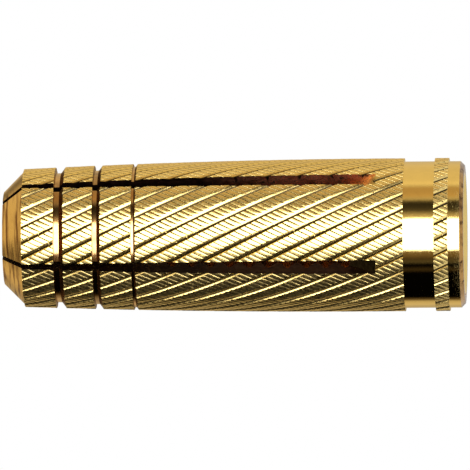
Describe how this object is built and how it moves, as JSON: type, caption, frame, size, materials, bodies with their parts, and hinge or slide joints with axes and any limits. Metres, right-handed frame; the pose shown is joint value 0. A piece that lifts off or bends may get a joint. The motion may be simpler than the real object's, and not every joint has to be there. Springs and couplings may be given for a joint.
{
  "type": "expansion anchor",
  "caption": "Slotted, knurled brass sleeve that a machine screw spreads outwards to grip the wall of a drilled hole.",
  "frame": {"origin": "middle of the mouth's flat face, where the screw goes in", "axes": "+Z along the sleeve's axis, from the mouth up to the nose that goes into the hole first"},
  "size_m": [0.01, 0.01, 0.03],
  "materials": {
    "brass": "machined, slightly oxidised"
  },
  "bodies": {
    "root": {"anchor_sleeve": "brass"}
  },
  "joints": []
}
